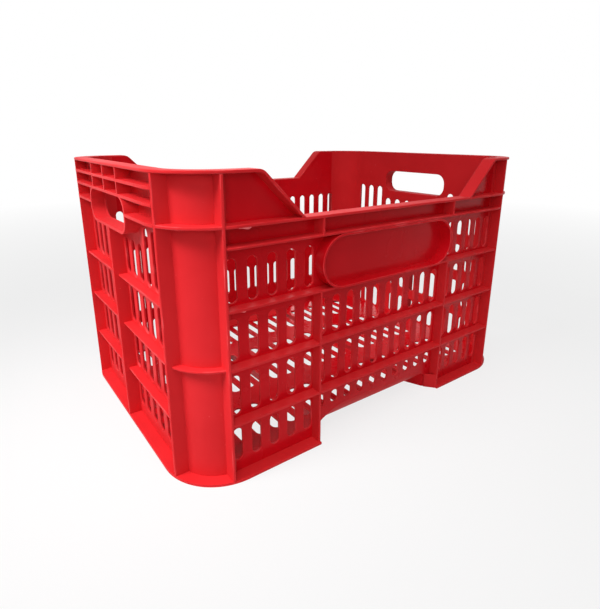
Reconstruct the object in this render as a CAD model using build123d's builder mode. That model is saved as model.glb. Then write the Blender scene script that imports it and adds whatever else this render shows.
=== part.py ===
from build123d import *
import math
import os

# Harvest crate with high ends and low sides, moulded in one shot.
# X runs along the length, Y across, Z up; the origin is the middle of the footprint.
# Every region of the moulding is a solid of its own and meets its neighbours face to face.

# Overall size
outer_length = 523
outer_width = 373
height = 310
corner_radius = 64
skin_radius = 43  # corners of the wall itself

# Walls and flanges
wall = 2.6
rim_reach = 15  # how far rim, ribs and foot flange stand out from the wall
flange = 3
rib = 2.6
post = 3  # upright ribs beside the corners

# Levels, measured down from the rim and up from the ground
upper_rib_drop = 15.7
grip_rib_drop = 30.6
rail_drop = 47
channel_drop = 67.5
low_row_height = 64.9
row_count = 3

# Uprights and ribs, measured in from the ends, the sides and the outer face
side_post_inset = 48
end_post_inset = 46
side_post_gap = 208.6  # between the two middle uprights of a long side
side_rib_recess = 2.5
end_row_recess = 5.4
corner_band_recess = 5

# High ends: top profile of the long sides
high_end_length = 130.5  # from the end to the foot of its slope
low_rail_shift = 4.4  # off the middle, to the right of someone facing the side
slope_run = 47
shoulder_radius = 12

# Wall slots
slot_width = 10.8
end_slot_width = 12.4
side_slot_pitch = 20.8
left_slot_gap = 7.7  # from a middle upright to the first slot of the bay on its left
right_slot_gap = 17.7  # and on its right
outer_slot_gap = 12  # from the last slot of a bay to the corner upright
end_slot_pitch = 22.1
slot_margin = 3
slot_sill = 2.5
slot_head = 11
floor_sill = 1
arch_sill = 5

# Hand grip
grip_length = 127
grip_height = 35
grip_radius = 15
collar_wall = 3
grip_cell = 47.4

# Label field
label_length = 210
label_frame = 2.6

# Floor and feet
floor_level = 12  # underside of the floor above the ground
floor_thickness = 3
bend_radius = 20  # outside of the bend from the floor up to a long side
arch_length = 186  # opening between the feet, at the wall
arch_flat = 92  # level part of its upper edge
arch_radius = 95  # the edge falls off towards the feet
foot_gap = 164  # opening between the feet, further in
foot_splay = 27  # how far in from the wall the feet narrow
floor_slot_width = 12
floor_slot_length = 102
floor_bar = 34
floor_margin = 4

# Levels and places that follow from the sizes above
half_length = outer_length / 2
half_width = outer_width / 2
through = rim_reach + wall + corner_radius / 2
wall_y = half_width - rim_reach
side_post_x = half_length - side_post_inset
end_post_y = half_width - end_post_inset
rib_end_x = side_post_x - post / 2
rib_end_y = end_post_y - post / 2
mid_post_x = side_post_gap / 2
rim_bottom = height - flange
rail_top = height - rail_drop
rail_bottom = rail_top - flange
upper_rib_z = height - upper_rib_drop
grip_rib_z = height - grip_rib_drop
channel_z = height - channel_drop
row_pitch = (channel_z - low_row_height) / row_count
rows = [channel_z - row_pitch * (k + 1) for k in range(row_count)]
row_tops = [channel_z] + rows
label_bottom = rows[0] - rib / 2
label_top = channel_z - rib / 2
slope_foot = half_length - high_end_length
slope_angle = math.atan2(rail_drop, slope_run)
rail_end_x = slope_foot + flange / math.sin(slope_angle)
grip_top = grip_rib_z - flange / 2
grip_z = grip_top - grip_height / 2
grip_bottom = grip_top - grip_height - collar_wall

# Slot patterns: as many as fit between the uprights
slot_edge = slot_margin + slot_width / 2
end_slot_edge = slot_margin + end_slot_width / 2
mid_count = 2 * int((mid_post_x - rib / 2 - slot_edge) / side_slot_pitch + 0.5)
outer_slot_x = side_post_x - outer_slot_gap
bays = []
for side, gap in ((-1, left_slot_gap), (1, right_slot_gap)):
    span = outer_slot_x - mid_post_x - gap
    bay_steps = int(span / side_slot_pitch + 0.5)
    bays.append((side * (outer_slot_x - span / 2), span / bay_steps, bay_steps + 1))
base_slot_top = rows[-1] - rib / 2 - slot_head
end_count = int((rib_end_y - end_slot_edge) / end_slot_pitch + 0.5)
short_count = math.ceil((grip_length / 2 + collar_wall - end_slot_width / 2) / end_slot_pitch)
tall_count = end_count - short_count
tall_centre = (short_count + tall_count / 2) * end_slot_pitch
top_slot_low = rows[0] + rib / 2 + slot_sill
tall_top = rail_bottom - slot_head

# Floor: a plate with three rows of slots, bent up to the long sides between the feet
floor_top = floor_level + floor_thickness
base_slot_low = floor_top + floor_sill
arch_height = floor_level + bend_radius
arch_lean = math.asin((arch_length - arch_flat) / 2 / arch_radius)
arch_side = arch_height - arch_radius * (1 - math.cos(arch_lean))
bend_y = wall_y - bend_radius
floor_columns = mid_count + sum(count for centre, pitch, count in bays)
side_row_start = floor_slot_length / 2 + floor_bar
side_row_length = bend_y - floor_margin - side_row_start
side_row_y = side_row_start + side_row_length / 2

front = Plane.XZ.offset(half_width)
left = Plane.YZ.offset(-half_length)


# Reference solids: the outer envelope, the outside of the wall and the space inside
def upright_block(inset, radius):
    with BuildPart() as block:
        with BuildSketch():
            RectangleRounded(outer_length - 2 * inset, outer_width - 2 * inset, radius)
        extrude(amount=height)
    return block.part


envelope = upright_block(0, corner_radius)
skin_block = upright_block(rim_reach, skin_radius)
cavity = upright_block(rim_reach + wall, skin_radius - wall)


# Outlines on a wall, in wall coordinates
def strip(start, end, bottom, top, mode=Mode.ADD):
    with Locations(((start + end) / 2, (bottom + top) / 2)):
        Rectangle(end - start, top - bottom, mode=mode)


def slot_row(centre, pitch, count, bottom, top, width=slot_width):
    with BuildSketch(mode=Mode.PRIVATE) as row:
        with Locations((centre, (bottom + top) / 2)):
            with GridLocations(pitch, 0, count, 1):
                Rectangle(width, top - bottom)
    return row.sketch


# What lies under the top profile of the left end, at a depth below its upper face
def shoulder_field(depth, outer_x, shift):
    foot = shift - slope_foot - depth / math.sin(slope_angle)
    corner = foot - (rail_drop - depth) / math.tan(slope_angle)
    top = height - depth
    with BuildSketch(mode=Mode.PRIVATE) as field:
        with BuildLine():
            Polyline(
                (outer_x, rail_bottom),
                (outer_x, top),
                (corner, top),
                (foot, rail_top),
                (foot, rail_bottom),
                close=True,
            )
        make_face()
        shoulder = field.vertices().sort_by_distance((corner, top))[0]
        fillet(shoulder, shoulder_radius - depth)
    return field.sketch


def grip_outline(growth):
    with BuildSketch(mode=Mode.PRIVATE) as outline:
        with Locations((0, grip_z)):
            RectangleRounded(grip_length + 2 * growth, grip_height + 2 * growth, grip_radius + growth)
    return outline.sketch


def label_outline(inset):
    with BuildSketch(mode=Mode.PRIVATE) as outline:
        with Locations((0, (label_bottom + label_top) / 2)):
            SlotOverall(label_length - 2 * inset, label_top - label_bottom - 2 * inset)
    return outline.sketch


# Opening in a long side between the feet
def arch_outline():
    lean = math.degrees(arch_lean)
    centre_z = arch_height - arch_radius
    with BuildSketch(mode=Mode.PRIVATE) as outline:
        with BuildLine():
            rise = CenterArc((-arch_flat / 2, centre_z), arch_radius, 90, lean)
            fall = CenterArc((arch_flat / 2, centre_z), arch_radius, 90 - lean, lean)
            Line(rise @ 0, fall @ 1)
            Polyline(rise @ 1, (-arch_length / 2, 0), (arch_length / 2, 0), fall @ 0)
        make_face()
    return outline.sketch


# Ground between the two feet, narrower away from the walls and wider out to the uprights
def foot_opening(growth):
    gap = foot_gap / 2 + growth
    mouth = arch_length / 2 + growth
    tip = mid_post_x - rib / 2 + growth
    rib_face = half_width - side_rib_recess
    quarter = [(gap, wall_y - foot_splay), (mouth, wall_y), (tip, rib_face), (tip, half_width)]
    right_side = [(x, -y) for x, y in reversed(quarter)] + quarter
    left_side = [(-x, -y) for x, y in right_side]
    with BuildSketch(mode=Mode.PRIVATE) as opening:
        Polygon(*right_side, *left_side, align=None)
    return opening.sketch


# Copies: the crate looks the same from both long sides and from both ends
def turned(piece):
    with BuildPart() as copy:
        add(piece.part, rotation=(0, 0, 180))
    return copy


def mirrored(piece):
    with BuildPart() as copy:
        mirror(piece.part, about=Plane.YZ)
    return copy


def save(piece, name):
    piece.part.label = name
    export_step(piece.part, f"parts/{name}.step")


def save_front_and_rear(piece, name):
    save(piece, f"front_{name}")
    save(turned(piece), f"rear_{name}")


def save_left_and_right(piece, name):
    save(piece, f"left_{name}")
    save(turned(piece), f"right_{name}")


def save_four(front_left, front_right, name):
    save(front_left, f"front_left_{name}")
    save(front_right, f"front_right_{name}")
    save(turned(front_right), f"rear_left_{name}")
    save(turned(front_left), f"rear_right_{name}")


# Slotted wall of a long side, open in an arch between the feet
with BuildPart() as side_wall:
    add(skin_block)
    add(cavity, mode=Mode.SUBTRACT)
    with BuildSketch(front):
        strip(-side_post_x, side_post_x, 0, rail_bottom)
        add(arch_outline(), mode=Mode.SUBTRACT)
    extrude(amount=-through, mode=Mode.INTERSECT)
    with BuildSketch(front):
        for k in range(row_count):
            low = rows[k] + rib / 2 + slot_sill
            high = row_tops[k] - rib / 2 - slot_head
            for bay in bays:
                add(slot_row(*bay, low, high))
            if k > 0:
                add(slot_row(0, side_slot_pitch, mid_count, low, high))
        for bay in bays:
            add(slot_row(*bay, base_slot_low, base_slot_top))
        add(slot_row(0, side_slot_pitch, mid_count, arch_height + arch_sill, base_slot_top))
    extrude(amount=-through, mode=Mode.SUBTRACT)

# Plain wall of a shoulder, between the rail and the raised rim
def shoulder_wall(shift):
    with BuildPart() as shoulder:
        add(skin_block)
        add(cavity, mode=Mode.SUBTRACT)
        with BuildSketch(front):
            add(shoulder_field(flange, -side_post_x, shift))
        extrude(amount=-through, mode=Mode.INTERSECT)
    return shoulder


# Curved wall of a corner
with BuildPart() as corner_wall:
    add(skin_block)
    add(cavity, mode=Mode.SUBTRACT)
    with BuildSketch():
        strip(-half_length, -side_post_x, -half_width, -end_post_y)
    extrude(amount=rim_bottom, mode=Mode.INTERSECT)

# Slotted wall of an end, up to the highest rib row
with BuildPart() as end_wall:
    add(skin_block)
    add(cavity, mode=Mode.SUBTRACT)
    with BuildSketch(left):
        strip(-end_post_y, end_post_y, 0, rows[0])
    extrude(amount=through, mode=Mode.INTERSECT)
    with BuildSketch(left):
        for k in range(1, row_count):
            low = rows[k] + rib / 2 + slot_sill
            high = row_tops[k] - rib / 2 - slot_head
            add(slot_row(0, end_slot_pitch, 2 * end_count, low, high, end_slot_width))
        add(slot_row(0, end_slot_pitch, 2 * end_count, base_slot_low, base_slot_top, end_slot_width))
    extrude(amount=through, mode=Mode.SUBTRACT)

# Wall round the hand grip, with short slots under it and tall ones beside it
with BuildPart() as grip_panel:
    add(skin_block)
    add(cavity, mode=Mode.SUBTRACT)
    with BuildSketch(left):
        strip(-end_post_y, end_post_y, rows[0], rim_bottom)
    extrude(amount=through, mode=Mode.INTERSECT)
    with BuildSketch(left):
        add(grip_outline(0))
        short_top = grip_bottom - slot_head
        add(slot_row(0, end_slot_pitch, 2 * short_count, top_slot_low, short_top, end_slot_width))
        for side in (-1, 1):
            centre = side * tall_centre
            add(slot_row(centre, end_slot_pitch, tall_count, top_slot_low, tall_top, end_slot_width))
    extrude(amount=through, mode=Mode.SUBTRACT)

# Raised rim of one end: round both corners and down both slopes to the rails
with BuildPart() as rim:
    for side in (1, -1):
        with BuildSketch(Plane.XZ):
            add(shoulder_field(0, -half_length, side * low_rail_shift))
            add(shoulder_field(flange, -half_length, side * low_rail_shift), mode=Mode.SUBTRACT)
            strip(-half_length, 0, rail_bottom, rail_top, mode=Mode.SUBTRACT)
        extrude(amount=side * half_width)
    add(envelope, mode=Mode.INTERSECT)
    add(cavity, mode=Mode.SUBTRACT)

# Low rail of a long side, with the finger channel under it
with BuildPart() as channel_ribs:
    with BuildSketch(front):
        strip(-rib_end_x, rib_end_x, rail_bottom, rail_top)
        strip(-rib_end_x, rib_end_x, label_top, label_top + rib)
        for side in (-1, 1):
            strip(side * mid_post_x - rib / 2, side * mid_post_x + rib / 2, label_top, rail_top)
    extrude(amount=-through)
    add(envelope, mode=Mode.INTERSECT)
    add(skin_block, mode=Mode.SUBTRACT)

with BuildPart() as side_rail:
    with BuildSketch(front):
        strip(low_rail_shift - rail_end_x, low_rail_shift + rail_end_x, rail_bottom, rail_top)
    extrude(amount=-through)
    add(envelope, mode=Mode.INTERSECT)
    add(cavity, mode=Mode.SUBTRACT)
    add(channel_ribs.part)

# Label field: a bare plate in an oblong frame
with BuildPart() as label_field:
    with BuildSketch(front):
        add(label_outline(0))
        add(label_outline(label_frame), mode=Mode.SUBTRACT)
    extrude(amount=-through)
    add(envelope, mode=Mode.INTERSECT)
    add(skin_block, mode=Mode.SUBTRACT)

# Rib lattice of a long side, cut round the label frame, with a gusset at either foot
with BuildPart() as side_ribs:
    with BuildSketch(front.offset(-side_rib_recess)):
        for z in rows:
            strip(-rib_end_x, rib_end_x, z - rib / 2, z + rib / 2)
        for side in (-1, 1):
            strip(side * mid_post_x - rib / 2, side * mid_post_x + rib / 2, flange, rows[0])
        add(label_outline(0), mode=Mode.SUBTRACT)
    extrude(amount=-through)
    with BuildSketch(Plane.XY.offset(flange)):
        add(foot_opening(wall))
        add(foot_opening(0), mode=Mode.SUBTRACT)
        strip(-half_length, half_length, side_rib_recess - half_width, -wall_y, mode=Mode.INTERSECT)
    extrude(amount=arch_side - flange)
    add(envelope, mode=Mode.INTERSECT)
    add(skin_block, mode=Mode.SUBTRACT)

# Rib lattice of an end: one deep upright and shallower rows
with BuildPart() as end_ribs:
    with BuildSketch(left.offset(end_row_recess)):
        for z in rows:
            strip(-rib_end_y, rib_end_y, z - rib / 2, z + rib / 2)
    extrude(amount=through)
    with BuildSketch(left):
        strip(-post / 2, post / 2, flange, grip_bottom)
    extrude(amount=through)
    add(envelope, mode=Mode.INTERSECT)
    add(skin_block, mode=Mode.SUBTRACT)

# Ribs above the hand grip, with their short uprights
with BuildPart() as grip_ribs:
    with BuildSketch(left):
        for z in (upper_rib_z, grip_rib_z):
            strip(-rib_end_y, rib_end_y, z - flange / 2, z + flange / 2)
        for y in (-grip_cell, 0, grip_cell):
            strip(y - rib / 2, y + rib / 2, grip_rib_z, rim_bottom)
    extrude(amount=through)
    add(envelope, mode=Mode.INTERSECT)
    add(skin_block, mode=Mode.SUBTRACT)

# Collar of the hand grip with its two ledges, closed at the top by the rib above
with BuildPart() as grip_collar:
    with BuildSketch(left):
        strip(-rib_end_y, rib_end_y, rail_bottom, rail_top)
        add(grip_outline(collar_wall))
        add(grip_outline(0), mode=Mode.SUBTRACT)
        strip(-rib_end_y, rib_end_y, grip_top, rim_bottom, mode=Mode.SUBTRACT)
    extrude(amount=through)
    add(envelope, mode=Mode.INTERSECT)
    add(skin_block, mode=Mode.SUBTRACT)

# Corner frame: two deep uprights, the ledge between them and a shallower band
with BuildPart() as corner_frame:
    with BuildSketch(Plane.XY.offset(rows[1] - rib / 2)):
        strip(-half_length, -side_post_x, -half_width, -end_post_y)
    extrude(amount=rib)
    add(upright_block(corner_band_recess, corner_radius - corner_band_recess), mode=Mode.INTERSECT)
    with BuildSketch(Plane.XY.offset(rail_bottom)):
        strip(-half_length, -side_post_x, -half_width, -end_post_y)
    extrude(amount=flange)
    with BuildSketch(Plane.XY.offset(flange)):
        strip(-side_post_x - post / 2, -rib_end_x, -half_width, -end_post_y)
        strip(-half_length, -side_post_x, -end_post_y - post / 2, -rib_end_y)
    extrude(amount=rim_bottom - flange)
    add(envelope, mode=Mode.INTERSECT)
    add(skin_block, mode=Mode.SUBTRACT)

# Foot flange of one end, from the front arch round to the rear arch
with BuildPart() as base_flange:
    with BuildSketch():
        strip(-half_length, 0, -half_width, half_width)
        add(foot_opening(0), mode=Mode.SUBTRACT)
    extrude(amount=flange)
    add(envelope, mode=Mode.INTERSECT)
    add(skin_block, mode=Mode.SUBTRACT)

# Bend between the floor and a long side, over the arch
with BuildPart() as floor_bend:
    with BuildSketch(Plane.YZ):
        with BuildLine():
            outer = CenterArc((-bend_y, arch_height), bend_radius, 180, 90)
            inner = CenterArc((-bend_y, arch_height), bend_radius - wall, 180, 90)
            Line(outer @ 0, inner @ 0)
            Line(outer @ 1, inner @ 1)
        make_face()
    extrude(amount=arch_length / 2, both=True)
    with BuildSketch():
        add(foot_opening(0))
    extrude(amount=arch_height, mode=Mode.INTERSECT)
    add(side_wall.part, mode=Mode.SUBTRACT)

# Inner wall of a foot, up to the floor and round the ends of both bends
with BuildPart() as foot_web:
    with BuildSketch():
        add(foot_opening(wall))
        add(foot_opening(0), mode=Mode.SUBTRACT)
        strip(0, half_length, -half_width, half_width, mode=Mode.SUBTRACT)
    extrude(amount=arch_height)
    add(cavity, mode=Mode.INTERSECT)
    with BuildSketch(Plane.YZ) as tub:
        strip(-bend_y - bend_radius + wall, bend_y + bend_radius - wall, floor_level + wall, height)
        fillet(tub.vertices().group_by(Axis.Y)[0], bend_radius - wall)
        strip(-bend_y, bend_y, floor_level, height)
    extrude(amount=-half_length, mode=Mode.SUBTRACT)

# Slotted floor, let in round the bends
with BuildPart() as floor_grid:
    with BuildSketch(Plane.XY.offset(floor_level)):
        Rectangle(outer_length, outer_width)
        add(foot_opening(wall), mode=Mode.SUBTRACT)
        strip(-half_length, half_length, -bend_y, bend_y)
        with GridLocations(side_slot_pitch, 0, floor_columns, 1):
            Rectangle(floor_slot_width, floor_slot_length, mode=Mode.SUBTRACT)
        with GridLocations(side_slot_pitch, 2 * side_row_y, floor_columns, 2):
            Rectangle(floor_slot_width, side_row_length, mode=Mode.SUBTRACT)
    extrude(amount=floor_thickness)
    add(cavity, mode=Mode.INTERSECT)

# One file for each region
os.makedirs("parts", exist_ok=True)
save(floor_grid, "floor_grid")
save_front_and_rear(floor_bend, "floor_bend")
save_left_and_right(foot_web, "foot_web")
save_front_and_rear(side_wall, "side_wall")
save_front_and_rear(side_rail, "side_rail")
save_front_and_rear(side_ribs, "side_ribs")
save_front_and_rear(label_field, "label_frame")
save_left_and_right(end_wall, "end_wall")
save_left_and_right(end_ribs, "end_ribs")
save_left_and_right(grip_panel, "grip_panel")
save_left_and_right(grip_ribs, "grip_ribs")
save_left_and_right(grip_collar, "grip_collar")
save_left_and_right(rim, "rim")
save_left_and_right(base_flange, "base_flange")
save_four(shoulder_wall(low_rail_shift), mirrored(shoulder_wall(-low_rail_shift)), "shoulder")
save_four(corner_wall, mirrored(corner_wall), "corner_wall")
save_four(corner_frame, mirrored(corner_frame), "corner_frame")
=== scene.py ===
import math

import bmesh
import bpy
from mathutils import Matrix, Vector
from mathutils.bvhtree import BVHTree


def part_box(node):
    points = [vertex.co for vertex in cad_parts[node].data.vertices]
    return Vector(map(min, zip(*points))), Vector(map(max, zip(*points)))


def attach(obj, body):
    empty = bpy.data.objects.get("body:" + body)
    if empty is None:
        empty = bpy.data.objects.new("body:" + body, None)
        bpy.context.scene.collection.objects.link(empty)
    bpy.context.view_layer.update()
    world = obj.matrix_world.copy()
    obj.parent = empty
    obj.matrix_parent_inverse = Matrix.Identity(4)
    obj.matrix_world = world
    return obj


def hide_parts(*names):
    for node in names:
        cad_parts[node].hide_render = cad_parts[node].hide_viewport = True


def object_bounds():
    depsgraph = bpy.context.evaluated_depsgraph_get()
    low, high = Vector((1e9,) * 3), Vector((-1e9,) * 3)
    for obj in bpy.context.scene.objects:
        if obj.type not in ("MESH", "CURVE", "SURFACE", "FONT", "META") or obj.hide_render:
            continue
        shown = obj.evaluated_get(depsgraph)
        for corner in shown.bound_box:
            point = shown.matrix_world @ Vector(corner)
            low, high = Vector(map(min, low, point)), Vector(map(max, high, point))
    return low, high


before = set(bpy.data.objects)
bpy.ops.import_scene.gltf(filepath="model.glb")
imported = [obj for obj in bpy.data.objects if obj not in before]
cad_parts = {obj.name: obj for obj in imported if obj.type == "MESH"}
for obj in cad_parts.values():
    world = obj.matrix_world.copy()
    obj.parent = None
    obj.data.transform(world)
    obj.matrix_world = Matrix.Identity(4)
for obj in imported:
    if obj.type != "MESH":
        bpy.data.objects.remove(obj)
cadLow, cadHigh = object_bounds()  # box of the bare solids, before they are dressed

mm = 0.001
crateBody = "root"
quarterTurn = math.pi / 2
weld = 0.002 * mm  # points closer than this are one
hair = 0.01 * mm  # slack when two levels are compared

# levels shared by walls, floor and ribs, read off the solids
rimTop = cadHigh.z
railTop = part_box("front_side_rail")[1].z
sideFace = -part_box("front_side_wall")[0].y  # outer face of a long wall, from the middle
endFace = -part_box("left_end_wall")[0].x  # outer face of an end wall


# Materials

redPlastic = {
    "cloudScale": 6,  # soft drifts of colour in the moulding
    "cloudDetail": 4,
    "cloudFrom": 0.35,
    "cloudTo": 0.65,
    "scuffAndHighlightDetail": 5,
    "ior": 1.5,
    "specular": 0.2,
    "specularTint": (1, 0.3, 0.3, 1),  # gloss of a deep red takes some of its colour
    "hazeScale": 14,  # handled patches are duller
    "hazeDetail": 5,
    "hazeFrom": 0.3,
    "hazeTo": 0.7,
    "rippleScale": 24,  # slight waves of a thin moulding
    "rippleDetail": 1,
    "grainScale": 750,
    "grainDetail": 3,
    "grainShare": 0.03,
    "rippleStrength": 0.10,
    "rippleDepth": 1.5 * mm,
}
wallScuffs = {"colour": (0.80, 0.12, 0.13, 1), "scale": 240, "from": 0.70, "to": 0.80, "most": 0.5}
# edge marks: pale pink partly wear and partly a painted highlight along the rounded edges
edgeScuffsAndHighlight = {"colour": (0.82, 0.11, 0.12, 1), "scale": 45, "from": 0.52, "to": 0.74, "most": 0.6}
deepReds = ((0.55, 0.003, 0.008, 1), (0.65, 0.006, 0.013, 1))  # darkest and brightest drift
handledAndHighlightReds = ((0.58, 0.016, 0.020, 1), (0.68, 0.024, 0.029, 1))  # paler partly from handling and partly as a painted highlight of lit faces on ribs, edges, wall ends and corners
polished = (0.18, 0.32)  # roughness of the walls, least and most
handled = (0.46, 0.60)  # and of ribs and edges


def noiseNode(nodes, links, place, scale, detail):
    noise = nodes.new("ShaderNodeTexNoise")
    noise.inputs["Scale"].default_value = scale
    noise.inputs["Detail"].default_value = detail
    links.new(place.outputs["Object"], noise.inputs["Vector"])
    return noise.outputs["Fac"]


def rangeNode(nodes, links, value, fromMin, fromMax, toMin, toMax):
    spread = nodes.new("ShaderNodeMapRange")
    spread.inputs["From Min"].default_value = fromMin
    spread.inputs["From Max"].default_value = fromMax
    spread.inputs["To Min"].default_value = toMin
    spread.inputs["To Max"].default_value = toMax
    links.new(value, spread.inputs["Value"])
    return spread.outputs["Result"]


def plasticMaterial(name, reds, scuffsAndHighlight, roughness):
    look = redPlastic
    made = bpy.data.materials.new(name)
    made.use_nodes = True
    nodes = made.node_tree.nodes
    links = made.node_tree.links
    shader = nodes["Principled BSDF"]
    shader.inputs["Specular IOR Level"].default_value = look["specular"]
    shader.inputs["Specular Tint"].default_value = look["specularTint"]
    shader.inputs["IOR"].default_value = look["ior"]
    place = nodes.new("ShaderNodeTexCoord")

    # colour drifts, with paler scuff marks over them, which on the rounded edges are also a
    # painted highlight
    cloud = noiseNode(nodes, links, place, look["cloudScale"], look["cloudDetail"])
    drift = nodes.new("ShaderNodeValToRGB")
    drift.color_ramp.elements[0].position = look["cloudFrom"]
    drift.color_ramp.elements[0].color = reds[0]
    drift.color_ramp.elements[1].position = look["cloudTo"]
    drift.color_ramp.elements[1].color = reds[1]
    links.new(cloud, drift.inputs["Fac"])
    scuffAndHighlightMask = noiseNode(nodes, links, place, scuffsAndHighlight["scale"], look["scuffAndHighlightDetail"])
    scuffAndHighlightMask = rangeNode(nodes, links, scuffAndHighlightMask, scuffsAndHighlight["from"], scuffsAndHighlight["to"], 0, scuffsAndHighlight["most"])
    tint = nodes.new("ShaderNodeMix")
    tint.data_type = "RGBA"
    tint.inputs["B"].default_value = scuffsAndHighlight["colour"]
    links.new(scuffAndHighlightMask, tint.inputs["Factor"])
    links.new(drift.outputs["Color"], tint.inputs["A"])
    links.new(tint.outputs["Result"], shader.inputs["Base Color"])

    # gloss that comes and goes
    haze = noiseNode(nodes, links, place, look["hazeScale"], look["hazeDetail"])
    rough = rangeNode(nodes, links, haze, look["hazeFrom"], look["hazeTo"], *roughness)
    links.new(rough, shader.inputs["Roughness"])

    # waves with a fine grain on them
    ripple = noiseNode(nodes, links, place, look["rippleScale"], look["rippleDetail"])
    grain = noiseNode(nodes, links, place, look["grainScale"], look["grainDetail"])
    heights = nodes.new("ShaderNodeMath")
    heights.operation = "MULTIPLY_ADD"
    heights.inputs[1].default_value = look["grainShare"]
    links.new(grain, heights.inputs[0])
    links.new(ripple, heights.inputs[2])
    bump = nodes.new("ShaderNodeBump")
    bump.inputs["Strength"].default_value = look["rippleStrength"]
    bump.inputs["Distance"].default_value = look["rippleDepth"]
    links.new(heights.outputs["Value"], bump.inputs["Height"])
    links.new(bump.outputs["Normal"], shader.inputs["Normal"])
    return made


wallRed = plasticMaterial("wallRed", deepReds, wallScuffs, polished)
# ribs, rims, rails, flanges and the wall ends and corners: a paler red, partly handling and partly
# a painted highlight of lit faces
ribRed = plasticMaterial("ribRed", handledAndHighlightReds, wallScuffs, handled)
edgeRed = plasticMaterial("edgeRed", handledAndHighlightReds, edgeScuffsAndHighlight, handled)  # rounded edges, paler from wear and from a painted highlight
print("materials made")


# Shared ways of making meshes

def settle(piece, *nodes):
    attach(piece, crateBody)
    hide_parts(*nodes)


def arc(centre, radius, start, end, steps):
    turn = (end - start) / steps
    angles = [start + turn * k for k in range(steps + 1)]
    return [(centre[0] + radius * math.cos(a), centre[1] + radius * math.sin(a)) for a in angles]


# rounded rectangle; a slot is one whose radius is half its width
def roundedLoop(x, z, width, height, radius, steps):
    right = x + width / 2 - radius
    left = x - width / 2 + radius
    top = z + height / 2 - radius
    bottom = z - height / 2 + radius
    corners = [(right, top), (left, top), (left, bottom), (right, bottom)]
    loop = []
    for k, corner in enumerate(corners):
        loop += arc(corner, radius, k * quarterTurn, (k + 1) * quarterTurn, steps)
    return loop


# a plate cut from flat loops, with every edge rounded over
def cutPlate(name, loops, thickness, edgeRadius):
    drawn = bpy.data.curves.new(name, "CURVE")
    drawn.dimensions = "2D"
    drawn.fill_mode = "BOTH"
    drawn.extrude = thickness / 2 - edgeRadius
    drawn.bevel_depth = edgeRadius
    drawn.bevel_resolution = 1  # two steps round each edge
    for loop in loops:
        spline = drawn.splines.new("POLY")
        spline.points.add(len(loop) - 1)
        for point, (x, y) in zip(spline.points, loop):
            point.co = (x, y, 0, 1)
        spline.use_cyclic_u = True
    pattern = bpy.data.objects.new(name, drawn)
    bpy.context.scene.collection.objects.link(pattern)
    graph = bpy.context.evaluated_depsgraph_get()
    plate = bmesh.new()
    plate.from_mesh(bpy.data.meshes.new_from_object(pattern.evaluated_get(graph)))
    bpy.data.objects.remove(pattern)
    bmesh.ops.remove_doubles(plate, verts=plate.verts, dist=weld / 2)
    return plate


# broad faces keep the first material and the rounded edges get the second
def markEdges(plate, thickness):
    flatTop = thickness / 2 - hair
    for face in plate.faces:
        onFace = all(abs(v.co.z) > flatTop for v in face.verts)
        face.material_index = 0 if onFace else 1


# smooth shading that breaks at edges sharper than the angle, flat faces kept flat
def shown(name, shape, faceRed, sharpAngle=50):
    for face in shape.faces:
        face.smooth = True
    for line in shape.edges:
        line.smooth = line.calc_face_angle(0) < math.radians(sharpAngle)
    mesh = bpy.data.meshes.new(name)
    shape.to_mesh(mesh)
    shape.free()
    mesh.materials.append(faceRed)
    mesh.materials.append(edgeRed)
    piece = bpy.data.objects.new(name, mesh)
    bpy.context.scene.collection.objects.link(piece)
    even = piece.modifiers.new("evenShading", "WEIGHTED_NORMAL")
    even.keep_sharp = True
    even.weight = 100  # broad faces decide
    return piece


# Walls: one slotted sheet, drawn flat and wrapped round the crate

walls = {
    "thickness": 2.6 * mm,
    "cornerRadius": 43 * mm,
    "edgeRadius": 0.7 * mm,
    "cornerCuts": 10,
    "buried": 2 * mm,  # the sheet ends half of this below the top of rim and rail
    "railShift": 4.4 * mm,  # the low rail lies to the right of the middle
    "slopeFoot": 131 * mm,  # from its middle to where it turns up to the high ends
    "slopeRun": 47 * mm,
    "shoulderRadius": 12 * mm,
    "archHalf": 93 * mm,  # opening between the feet
    "archTop": 32 * mm,
    "archLap": 1.2 * mm,  # the sheet laps over the bend of the floor
    "archFlatHalf": 46 * mm,
    "archRadius": 95 * mm,
    "archSteps": 8,
    "shoulderSteps": 6,
}
slots = {
    "width": 10.8 * mm,
    "endWidth": 12.4 * mm,
    "steps": 5,
    "sidePitch": 20.8 * mm,
    "middleColumns": 5,  # each side of the middle, between the uprights
    "bays": [(-201.5 * mm, -112 * mm), (122 * mm, 201.5 * mm)],  # first and last slot
    "bayColumns": 5,
    "endPitch": 22.1 * mm,
    "endColumns": 6,
    "underGrip": 3,  # columns each side of the middle that end below the hand grip
    "low": 16 * mm,
    "lowOverArch": 37 * mm,
    "lowTop": 52.6 * mm,
    "rows": [(68.7 * mm, 111.8 * mm), (127.9 * mm, 171 * mm), (187.1 * mm, 230.2 * mm)],
    "shortTop": 228.9 * mm,
    "tallTop": 249 * mm,
}
handGrip = {"length": 127 * mm, "height": 35 * mm, "radius": 15 * mm, "z": 260.4 * mm, "steps": 8}

edge = walls["edgeRadius"]
cornerRadius = walls["cornerRadius"]
sideFlat = endFace - cornerRadius  # half the flat of a long wall
endFlat = sideFace - cornerRadius
cornerRun = cornerRadius * quarterTurn
rightEnd = sideFlat + cornerRun + endFlat  # middles of the walls along the sheet
rearMiddle = 2 * rightEnd
sheetStart = -(sideFlat + 1.5 * cornerRun + 2 * endFlat)  # the seam hides in a rear corner
sheetLength = 4 * rightEnd
sheetEnd = sheetStart + sheetLength


def slotLoops(middle, width, spans):
    loops = []
    wide = width + 2 * edge
    for low, high in spans:
        tall = high - low + 2 * edge
        loops.append(roundedLoop(middle, (low + high) / 2, wide, tall, wide / 2, slots["steps"]))
    return loops


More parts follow.
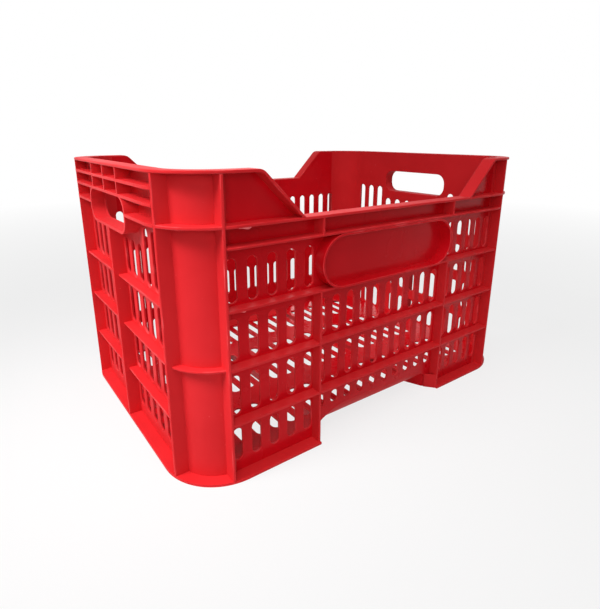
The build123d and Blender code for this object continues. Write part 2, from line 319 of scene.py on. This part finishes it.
def sideSlots(middle):
    loops = []
    overArch = [(slots["lowOverArch"], slots["lowTop"])] + slots["rows"][:2]
    for column in range(slots["middleColumns"]):
        offset = (column + 0.5) * slots["sidePitch"]
        loops += slotLoops(middle - offset, slots["width"], overArch)
        loops += slotLoops(middle + offset, slots["width"], overArch)
    fullHeight = [(slots["low"], slots["lowTop"])] + slots["rows"]
    for first, last in slots["bays"]:
        pitch = (last - first) / (slots["bayColumns"] - 1)
        for column in range(slots["bayColumns"]):
            loops += slotLoops(middle + first + column * pitch, slots["width"], fullHeight)
    return loops


def endSlots(middle):
    loops = []
    topLow = slots["rows"][2][0]
    for column in range(slots["endColumns"]):
        offset = (column + 0.5) * slots["endPitch"]
        topHigh = slots["shortTop"] if column < slots["underGrip"] else slots["tallTop"]
        spans = [(slots["low"], slots["lowTop"])] + slots["rows"][:2] + [(topLow, topHigh)]
        loops += slotLoops(middle - offset, slots["endWidth"], spans)
        loops += slotLoops(middle + offset, slots["endWidth"], spans)
    width = handGrip["length"] + 2 * edge
    height = handGrip["height"] + 2 * edge
    radius = handGrip["radius"] + edge
    loops.append(roundedLoop(middle, handGrip["z"], width, height, radius, handGrip["steps"]))
    return loops


# lower edge of a long wall, left to right over the arch
def archEdge(middle):
    half = walls["archHalf"] + edge
    flat = walls["archFlatHalf"]
    radius = walls["archRadius"]
    top = walls["archTop"] - walls["archLap"] + edge
    steps = walls["archSteps"]
    lean = math.asin((half - flat) / radius)
    rise = arc((middle - flat, top - radius), radius, quarterTurn + lean, quarterTurn, steps)
    fall = arc((middle + flat, top - radius), radius, quarterTurn, quarterTurn - lean, steps)
    return [(middle - half, edge)] + rise + fall + [(middle + half, edge)]


# upper edge of a long wall, right to left: shoulder, slope, low rail, slope, shoulder
def railEdge(middle):
    depth = walls["buried"] / 2 + edge
    rise = rimTop - railTop
    slope = math.atan2(rise, walls["slopeRun"])
    foot = walls["slopeFoot"] - depth / math.tan(slope) + depth / math.sin(slope)
    head = foot + walls["slopeRun"]
    radius = walls["shoulderRadius"] - depth
    setback = radius * math.tan(slope / 2)
    centre = (head + setback, rimTop - depth - radius)
    bend = arc(centre, radius, quarterTurn, quarterTurn + slope, walls["shoulderSteps"])
    half = bend + [(foot, railTop - depth)]
    railMiddle = middle + walls["railShift"]
    rightHalf = [(railMiddle + x, z) for x, z in half]
    leftHalf = [(railMiddle - x, z) for x, z in reversed(half)]
    return rightHalf + leftHalf


def wallLoops():
    spare = 5 * mm  # past the seam, trimmed off later
    top = rimTop - walls["buried"] / 2 - edge
    outline = [(sheetStart - spare, edge)]
    outline += archEdge(0) + archEdge(rearMiddle)
    outline += [(sheetEnd + spare, edge), (sheetEnd + spare, top)]
    outline += railEdge(rearMiddle) + railEdge(0)
    outline += [(sheetStart - spare, top)]
    loops = [outline]
    for middle in (0, rearMiddle):
        loops += sideSlots(middle)
    for middle in (-rightEnd, rightEnd):
        loops += endSlots(middle)
    return loops


# cuts that let the flat sheet bend smoothly round the four corners
def cornerLines():
    lines = []
    nudge = 0.6 * mm  # keeps the first and last cut just inside the bend
    cells = walls["cornerCuts"]
    for turn in range(-2, 3):
        start = turn * rightEnd + (sideFlat if turn % 2 == 0 else endFlat) + nudge
        end = start + cornerRun - 2 * nudge
        lines.append([start + (end - start) * k / cells for k in range(cells + 1)])
    return lines


# cuts across the sheet, and can take away what lies left or right of the cut
def crossCut(sheet, place, clearLeft=False, clearRight=False):
    everything = sheet.verts[:] + sheet.edges[:] + sheet.faces[:]
    bmesh.ops.bisect_plane(
        sheet,
        geom=everything,
        dist=hair / 100,
        plane_co=(place, 0, 0),
        plane_no=(1, 0, 0),
        clear_inner=clearLeft,
        clear_outer=clearRight,
    )


# joins the fill triangles between two cuts into one long face
def clearCell(sheet, start, end):
    flat = 0.001  # radians
    spent = []
    for line in sheet.edges:
        if len(line.link_faces) != 2:
            continue
        xs = [v.co.x for v in line.verts]
        inside = min(xs) > start - hair and max(xs) < end + hair
        onCut = max(abs(xs[0] - start), abs(xs[1] - start)) < hair
        onCut = onCut or max(abs(xs[0] - end), abs(xs[1] - end)) < hair
        if inside and not onCut and line.calc_face_angle(1) < flat:
            spent.append(line)
    bmesh.ops.dissolve_edges(sheet, edges=spent, use_verts=True)


# place and outward direction at a distance along the sheet
def onWall(distance):
    turn = math.floor((distance + sideFlat) / rightEnd / 2) * 2
    along = distance - turn * rightEnd
    if along <= sideFlat:
        point, out = (along, -sideFace), (0, -1)
    elif along < sideFlat + cornerRun:
        angle = (along - sideFlat) / cornerRadius
        out = (math.sin(angle), -math.cos(angle))
        point = (sideFlat + cornerRadius * out[0], -endFlat + cornerRadius * out[1])
    elif along <= sideFlat + cornerRun + 2 * endFlat:
        point, out = (endFace, along - rightEnd), (1, 0)
    else:
        angle = (along - sideFlat - cornerRun - 2 * endFlat) / cornerRadius
        out = (math.cos(angle), math.sin(angle))
        point = (sideFlat + cornerRadius * out[0], endFlat + cornerRadius * out[1])
    side = 1 if turn % 4 == 0 else -1
    return Vector(point) * side, Vector(out) * side


def wrapSheet(sheet):
    thickness = walls["thickness"]
    for vert in sheet.verts:
        point, out = onWall(vert.co.x)
        point = point + out * (vert.co.z - thickness / 2)
        vert.co = (point.x, point.y, vert.co.y)


# ends and corners get the paler rib red, partly handling and partly a painted highlight of these
# lit sides; the long walls keep the deep red
def onLongWall(face):
    middle = face.calc_center_median().x
    return min(abs(middle - turn * rearMiddle) for turn in (-1, 0, 1)) < sideFlat


def buildWalls():
    sheet = cutPlate("wallSheet", wallLoops(), walls["thickness"], edge)
    crossCut(sheet, sheetStart, clearLeft=True)
    crossCut(sheet, sheetEnd, clearRight=True)
    for line in cornerLines():
        for place in line:
            if sheetStart < place < sheetEnd:
                crossCut(sheet, place)
    for line in cornerLines():
        stops = [min(max(place, sheetStart), sheetEnd) for place in line]
        for start, end in zip(stops, stops[1:]):
            if end > start:
                clearCell(sheet, start, end)
    markEdges(sheet, walls["thickness"])
    for face in sheet.faces:
        if face.material_index == 0 and not onLongWall(face):
            face.material_index = 2  # paler, duller red with a painted highlight
    wrapSheet(sheet)
    bmesh.ops.remove_doubles(sheet, verts=sheet.verts, dist=weld)
    bmesh.ops.recalc_face_normals(sheet, faces=sheet.faces)
    piece = shown("slottedWalls", sheet, wallRed)
    piece.data.materials.append(ribRed)
    corners = [f"{side}_{end}" for side in ("front", "rear") for end in ("left", "right")]
    settle(
        piece,
        *[f"{side}_side_wall" for side in ("front", "rear")],
        *[f"{end}_end_wall" for end in ("left", "right")],
        *[f"{end}_grip_panel" for end in ("left", "right")],
        *[f"{corner}_corner_wall" for corner in corners],
        *[f"{corner}_shoulder" for corner in corners],
    )
    print("walls:", len(piece.data.polygons), "faces")


buildWalls()


# Floor: a plate with three rows of slots, notched where it bends up over the arches

floorPlate = {
    "edgeRadius": 0.7 * mm,
    "overlap": 1 * mm,  # let into the walls
    "slotWidth": 12 * mm,
    "middleLength": 102 * mm,
    "bar": 34 * mm,
    "margin": 4 * mm,
    "columns": 10,  # each side of the middle
    "notchInner": 86.1 * mm,  # inside the webs of the feet
    "notchOuter": 93.6 * mm,
    "cornerSteps": 8,
    "slotSteps": 4,
}


def buildFloor():
    soft = floorPlate["edgeRadius"]
    low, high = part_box("floor_grid")
    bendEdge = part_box("rear_floor_bend")[0].y  # where the bends begin
    grow = floorPlate["overlap"] - soft
    halfX = endFace - walls["thickness"] + grow
    halfY = sideFace - walls["thickness"] + grow
    radius = cornerRadius - walls["thickness"] + grow
    inner = floorPlate["notchInner"] + soft
    outer = floorPlate["notchOuter"] + soft
    notchY = bendEdge - soft
    notch = [(outer, halfY), (inner, notchY), (-inner, notchY), (-outer, halfY)]
    outline = []
    corners = [(1, 1), (-1, 1), (-1, -1), (1, -1)]
    for k, (sideX, sideY) in enumerate(corners):
        centre = (sideX * (halfX - radius), sideY * (halfY - radius))
        start = k * quarterTurn
        outline += arc(centre, radius, start, (k + 1) * quarterTurn, floorPlate["cornerSteps"])
        if sideX == sideY:
            outline += [(sideX * x, sideY * y) for x, y in notch]
    loops = [outline]
    width = floorPlate["slotWidth"] + 2 * soft
    middle = floorPlate["middleLength"]
    sideStart = middle / 2 + floorPlate["bar"]
    sideLength = bendEdge - floorPlate["margin"] - sideStart
    sideRow = sideStart + sideLength / 2
    rows = ((0, middle), (sideRow, sideLength), (-sideRow, sideLength))
    for column in range(floorPlate["columns"]):
        offset = (column + 0.5) * slots["sidePitch"]
        for x in (offset, -offset):
            for y, length in rows:
                tall = length + 2 * soft
                loops.append(roundedLoop(x, y, width, tall, width / 2, floorPlate["slotSteps"]))
    plate = cutPlate("floorSheet", loops, high.z - low.z, soft)
    markEdges(plate, high.z - low.z)
    bmesh.ops.translate(plate, verts=plate.verts, vec=(0, 0, (low.z + high.z) / 2))
    piece = shown("slottedFloor", plate, wallRed)
    settle(piece, "floor_grid")
    print("floor:", len(piece.data.polygons), "faces")


buildFloor()


# Ribs, rims, rails and flanges: the solids with their free edges rounded over

mouldedEdges = {
    "radius": 0.7 * mm,
    "segments": 2,
    "minAngle": 35,  # degrees, below which an edge stays as it is
    "flatAngle": 0.3,  # faces nearer to flat than this are joined first
    "reach": 0.3 * mm,  # an edge is free if there is no plastic this far outside it
}
ribNames = {
    "leftRim": "left_rim",
    "rightRim": "right_rim",
    "frontRail": "front_side_rail",
    "rearRail": "rear_side_rail",
    "frontRibs": "front_side_ribs",
    "rearRibs": "rear_side_ribs",
    "frontLabel": "front_label_frame",
    "rearLabel": "rear_label_frame",
    "leftRibs": "left_end_ribs",
    "rightRibs": "right_end_ribs",
    "leftGripRibs": "left_grip_ribs",
    "rightGripRibs": "right_grip_ribs",
    "leftGripCollar": "left_grip_collar",
    "rightGripCollar": "right_grip_collar",
    "frontLeftCorner": "front_left_corner_frame",
    "frontRightCorner": "front_right_corner_frame",
    "rearLeftCorner": "rear_left_corner_frame",
    "rearRightCorner": "rear_right_corner_frame",
    "leftFlange": "left_base_flange",
    "rightFlange": "right_base_flange",
    "frontBend": "front_floor_bend",
    "rearBend": "rear_floor_bend",
    "leftFootWeb": "left_foot_web",
    "rightFootWeb": "right_foot_web",
}


def solidShape(node):
    shape = bmesh.new()
    shape.from_mesh(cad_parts[node].data)
    bmesh.ops.remove_doubles(shape, verts=shape.verts, dist=weld)
    bmesh.ops.recalc_face_normals(shape, faces=shape.faces)
    return shape


neighbourTrees = {}
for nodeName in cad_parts:
    solid = solidShape(nodeName)
    neighbourTrees[nodeName] = (BVHTree.FromBMesh(solid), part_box(nodeName))
    solid.free()


# whether a point lies in the plastic of some other region
def buriedElsewhere(point, ownNode):
    for node, (tree, (low, high)) in neighbourTrees.items():
        if node == ownNode:
            continue
        if any(point[k] < low[k] or point[k] > high[k] for k in range(3)):
            continue
        near, normal, index, distance = tree.find_nearest(point)
        if (point - near).dot(normal) < 0:
            return True
    return False


def softened(name, node, faceRed):
    look = mouldedEdges
    shape = solidShape(node)
    flat = math.radians(look["flatAngle"])
    bmesh.ops.dissolve_limit(shape, angle_limit=flat, verts=shape.verts, edges=shape.edges)
    free = []
    for line in shape.edges:
        if len(line.link_faces) != 2 or not line.is_convex:
            continue
        if line.calc_face_angle(0) < math.radians(look["minAngle"]):
            continue
        middle = (line.verts[0].co + line.verts[1].co) / 2
        out = line.link_faces[0].normal + line.link_faces[1].normal
        if not buriedElsewhere(middle + out.normalized() * look["reach"], node):
            free.append(line)
    rounded = bmesh.ops.bevel(
        shape,
        geom=free,
        offset=look["radius"],
        segments=look["segments"],
        profile=0.5,
        affect="EDGES",
        clamp_overlap=True,
        material=1,
    )
    piece = shown(name, shape, faceRed)
    settle(piece, node)
    return len(rounded["faces"])


edgeFaces = 0
for pieceName, nodeName in ribNames.items():
    # label frames keep the deep wall red as walls do; the foot webs get it as painted shade, so
    # that they look darker
    keepsDeepRed = "Label" in pieceName or "FootWeb" in pieceName
    faceRed = wallRed if keepsDeepRed else ribRed
    edgeFaces += softened(pieceName, nodeName, faceRed)
print("ribs, rims and flanges:", len(ribNames), "pieces,", edgeFaces, "edge faces")


# Mould flash: two thin fringes that were not trimmed off, under a ledge and under a rib

mouldFlash = {
    "reds": ((0.76, 0.13, 0.14, 1), (0.86, 0.19, 0.20, 1)),
    "thickness": 0.5 * mm,
    "root": 0.9 * mm,  # how far it runs up into the edge
    "setBack": 0.1 * mm,  # behind the front of the edge it hangs from
    "steps": 14,
    "lean": 2.2,  # above 1, it hangs lowest past its middle
    "fringes": [
        {
            "node": "front_side_rail",
            "from": -200 * mm,
            "to": -187.5 * mm,
            "under": 260 * mm,
            "hang": 1.5 * mm,
        },
        {
            "node": "front_side_ribs",
            "from": -200.5 * mm,
            "to": -194 * mm,
            "under": 182 * mm,
            "hang": 1.1 * mm,
        },
    ],
}


def buildFlash():
    look = mouldFlash
    shape = bmesh.new()
    for fringe in look["fringes"]:
        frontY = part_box(fringe["node"])[0].y + look["setBack"]
        top = fringe["under"] + look["root"]
        run = fringe["to"] - fringe["from"]
        outline = [(fringe["to"], top), (fringe["from"], top)]
        for step in range(look["steps"] + 1):
            share = step / look["steps"]
            hang = fringe["hang"] * math.sin(math.pi * share ** look["lean"])
            outline.append((fringe["from"] + run * share, fringe["under"] - hang))
        face = shape.faces.new([shape.verts.new((x, frontY, z)) for x, z in outline])
        made = bmesh.ops.extrude_face_region(shape, geom=[face], use_keep_orig=True)
        moved = [item for item in made["geom"] if isinstance(item, bmesh.types.BMVert)]
        bmesh.ops.translate(shape, verts=moved, vec=(0, look["thickness"], 0))
    bmesh.ops.recalc_face_normals(shape, faces=shape.faces)
    flashRed = plasticMaterial("flashRed", look["reds"], wallScuffs, handled)
    piece = shown("mouldFlash", shape, flashRed)
    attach(piece, crateBody)
    print("mould flash:", len(look["fringes"]), "fringes")


buildFlash()


# Studio: pale floor, white surround and four soft lamps, from the left, front, rear and top

studio = {
    "floorColour": (0.66, 0.66, 0.66, 1),
    "floorRoughness": 0.9,
    "floorSize": 30,
    "floorWhite": 0.78,  # share of plain white in the floor as it is seen
    "whiteFrom": 0.5,  # metres out, where that share starts to grow
    "whiteAt": 2.2,
    "skyFill": 0.17,
}
# power in watts, size of the lamp, place and target in metres, spread of its beam in degrees
lamps = {
    "keyLight": {
        "power": 1.35,
        "size": 0.4,
        "spread": 48,
        "place": Vector((-0.95, -0.02, 0.95)),
        "target": Vector((-0.28, -0.03, 0.14)),
    },
    "frontLight": {
        "power": 5.2,
        "size": 0.6,
        "spread": 180,
        "place": Vector((-0.9, -1.2, 0.7)),
        "target": Vector((0, -0.1, 0.15)),
    },
    "rearLight": {
        "power": 3.2,
        "size": 0.8,
        "spread": 180,
        "place": Vector((1.1, 1.5, 0.45)),
        "target": Vector((0.05, 0.1, 0.15)),
    },
    "topLight": {
        "power": 2.6,
        "size": 0.8,
        "spread": 90,
        "place": Vector((-0.35, -0.6, 1.4)),
        "target": Vector((-0.2, -0.15, 0.1)),
    },
}


# 1 for rays that show the surroundings, 0 for rays that gather light
def seenRays(nodes, links):
    rays = nodes.new("ShaderNodeLightPath")
    total = rays.outputs["Is Camera Ray"]
    for kind in ("Is Glossy Ray", "Is Transmission Ray"):
        more = nodes.new("ShaderNodeMath")
        more.operation = "ADD"
        more.use_clamp = True
        links.new(total, more.inputs[0])
        links.new(rays.outputs[kind], more.inputs[1])
        total = more.outputs["Value"]
    return total


def buildFloorStage():
    bpy.ops.mesh.primitive_plane_add(size=studio["floorSize"], location=(0, 0, 0))
    ground = bpy.context.object
    ground.name = "studioFloor"
    paper = bpy.data.materials.new("palePaper")
    paper.use_nodes = True
    nodes = paper.node_tree.nodes
    links = paper.node_tree.links
    shader = nodes["Principled BSDF"]
    shader.inputs["Base Color"].default_value = studio["floorColour"]
    shader.inputs["Roughness"].default_value = studio["floorRoughness"]
    shader.inputs["Specular IOR Level"].default_value = 0
    white = nodes.new("ShaderNodeEmission")
    white.inputs["Strength"].default_value = 1
    place = nodes.new("ShaderNodeTexCoord")
    reach = nodes.new("ShaderNodeVectorMath")
    reach.operation = "LENGTH"
    links.new(place.outputs["Object"], reach.inputs[0])
    span = (studio["whiteFrom"], studio["whiteAt"], studio["floorWhite"], 1)
    share = nodes.new("ShaderNodeMath")
    share.operation = "MULTIPLY"
    links.new(seenRays(nodes, links), share.inputs[0])
    links.new(rangeNode(nodes, links, reach.outputs["Value"], *span), share.inputs[1])
    choose = nodes.new("ShaderNodeMixShader")
    links.new(share.outputs["Value"], choose.inputs["Fac"])
    links.new(shader.outputs["BSDF"], choose.inputs[1])
    links.new(white.outputs["Emission"], choose.inputs[2])
    links.new(choose.outputs["Shader"], nodes["Material Output"].inputs["Surface"])
    ground.data.materials.append(paper)


def buildSky():
    sky = bpy.data.worlds.new("studioSky")
    bpy.context.scene.world = sky
    sky.use_nodes = True
    nodes = sky.node_tree.nodes
    links = sky.node_tree.links
    nodes.clear()
    fill = nodes.new("ShaderNodeBackground")
    fill.inputs["Color"].default_value = (1, 1, 1, 1)
    fill.inputs["Strength"].default_value = studio["skyFill"]
    white = nodes.new("ShaderNodeBackground")
    white.inputs["Color"].default_value = (1, 1, 1, 1)
    white.inputs["Strength"].default_value = 1
    choose = nodes.new("ShaderNodeMixShader")
    links.new(seenRays(nodes, links), choose.inputs["Fac"])
    links.new(fill.outputs["Background"], choose.inputs[1])
    links.new(white.outputs["Background"], choose.inputs[2])
    output = nodes.new("ShaderNodeOutputWorld")
    links.new(choose.outputs["Shader"], output.inputs["Surface"])


def buildLamps():
    for name, look in lamps.items():
        lamp = bpy.data.lights.new(name, "AREA")
        lamp.energy = look["power"]
        lamp.size = look["size"]
        lamp.spread = math.radians(look["spread"])
        stand = bpy.data.objects.new(name, lamp)
        bpy.context.scene.collection.objects.link(stand)
        stand.location = look["place"]
        aim = look["target"] - look["place"]
        stand.rotation_euler = aim.to_track_quat("-Z", "Y").to_euler()


buildFloorStage()
buildSky()
buildLamps()
print("studio lit")


# Camera: close to the near corner, as the photograph was taken

cameraView = {
    "place": Vector((-394.1, -537.1, 336.7)) * mm,
    "heading": 36.52,  # degrees from +Y towards +X
    "pitch": 16.4,  # degrees down
    "roll": 0.14,
    "focalPixels": 466.1,  # focal length, in pixels of the photograph
    "imageHeight": 609,
    "centreRow": 273.6,  # pixel row that the lens points at
    "sensor": 36,  # millimetres
}


def buildCamera():
    look = cameraView
    lens = bpy.data.cameras.new("photoCamera")
    lens.sensor_width = look["sensor"]
    lens.lens = look["focalPixels"] * look["sensor"] / look["imageHeight"]
    lens.shift_y = (look["centreRow"] - look["imageHeight"] / 2) / look["imageHeight"]
    eye = bpy.data.objects.new("photoCamera", lens)
    bpy.context.scene.collection.objects.link(eye)
    turn = Matrix.Rotation(-math.radians(look["heading"]), 4, "Z")
    tilt = Matrix.Rotation(math.radians(90 - look["pitch"]), 4, "X")
    lean = Matrix.Rotation(math.radians(look["roll"]), 4, "Z")
    eye.matrix_world = Matrix.Translation(look["place"]) @ turn @ tilt @ lean
    bpy.context.scene.camera = eye


buildCamera()
bpy.context.scene.view_settings.view_transform = "Standard"
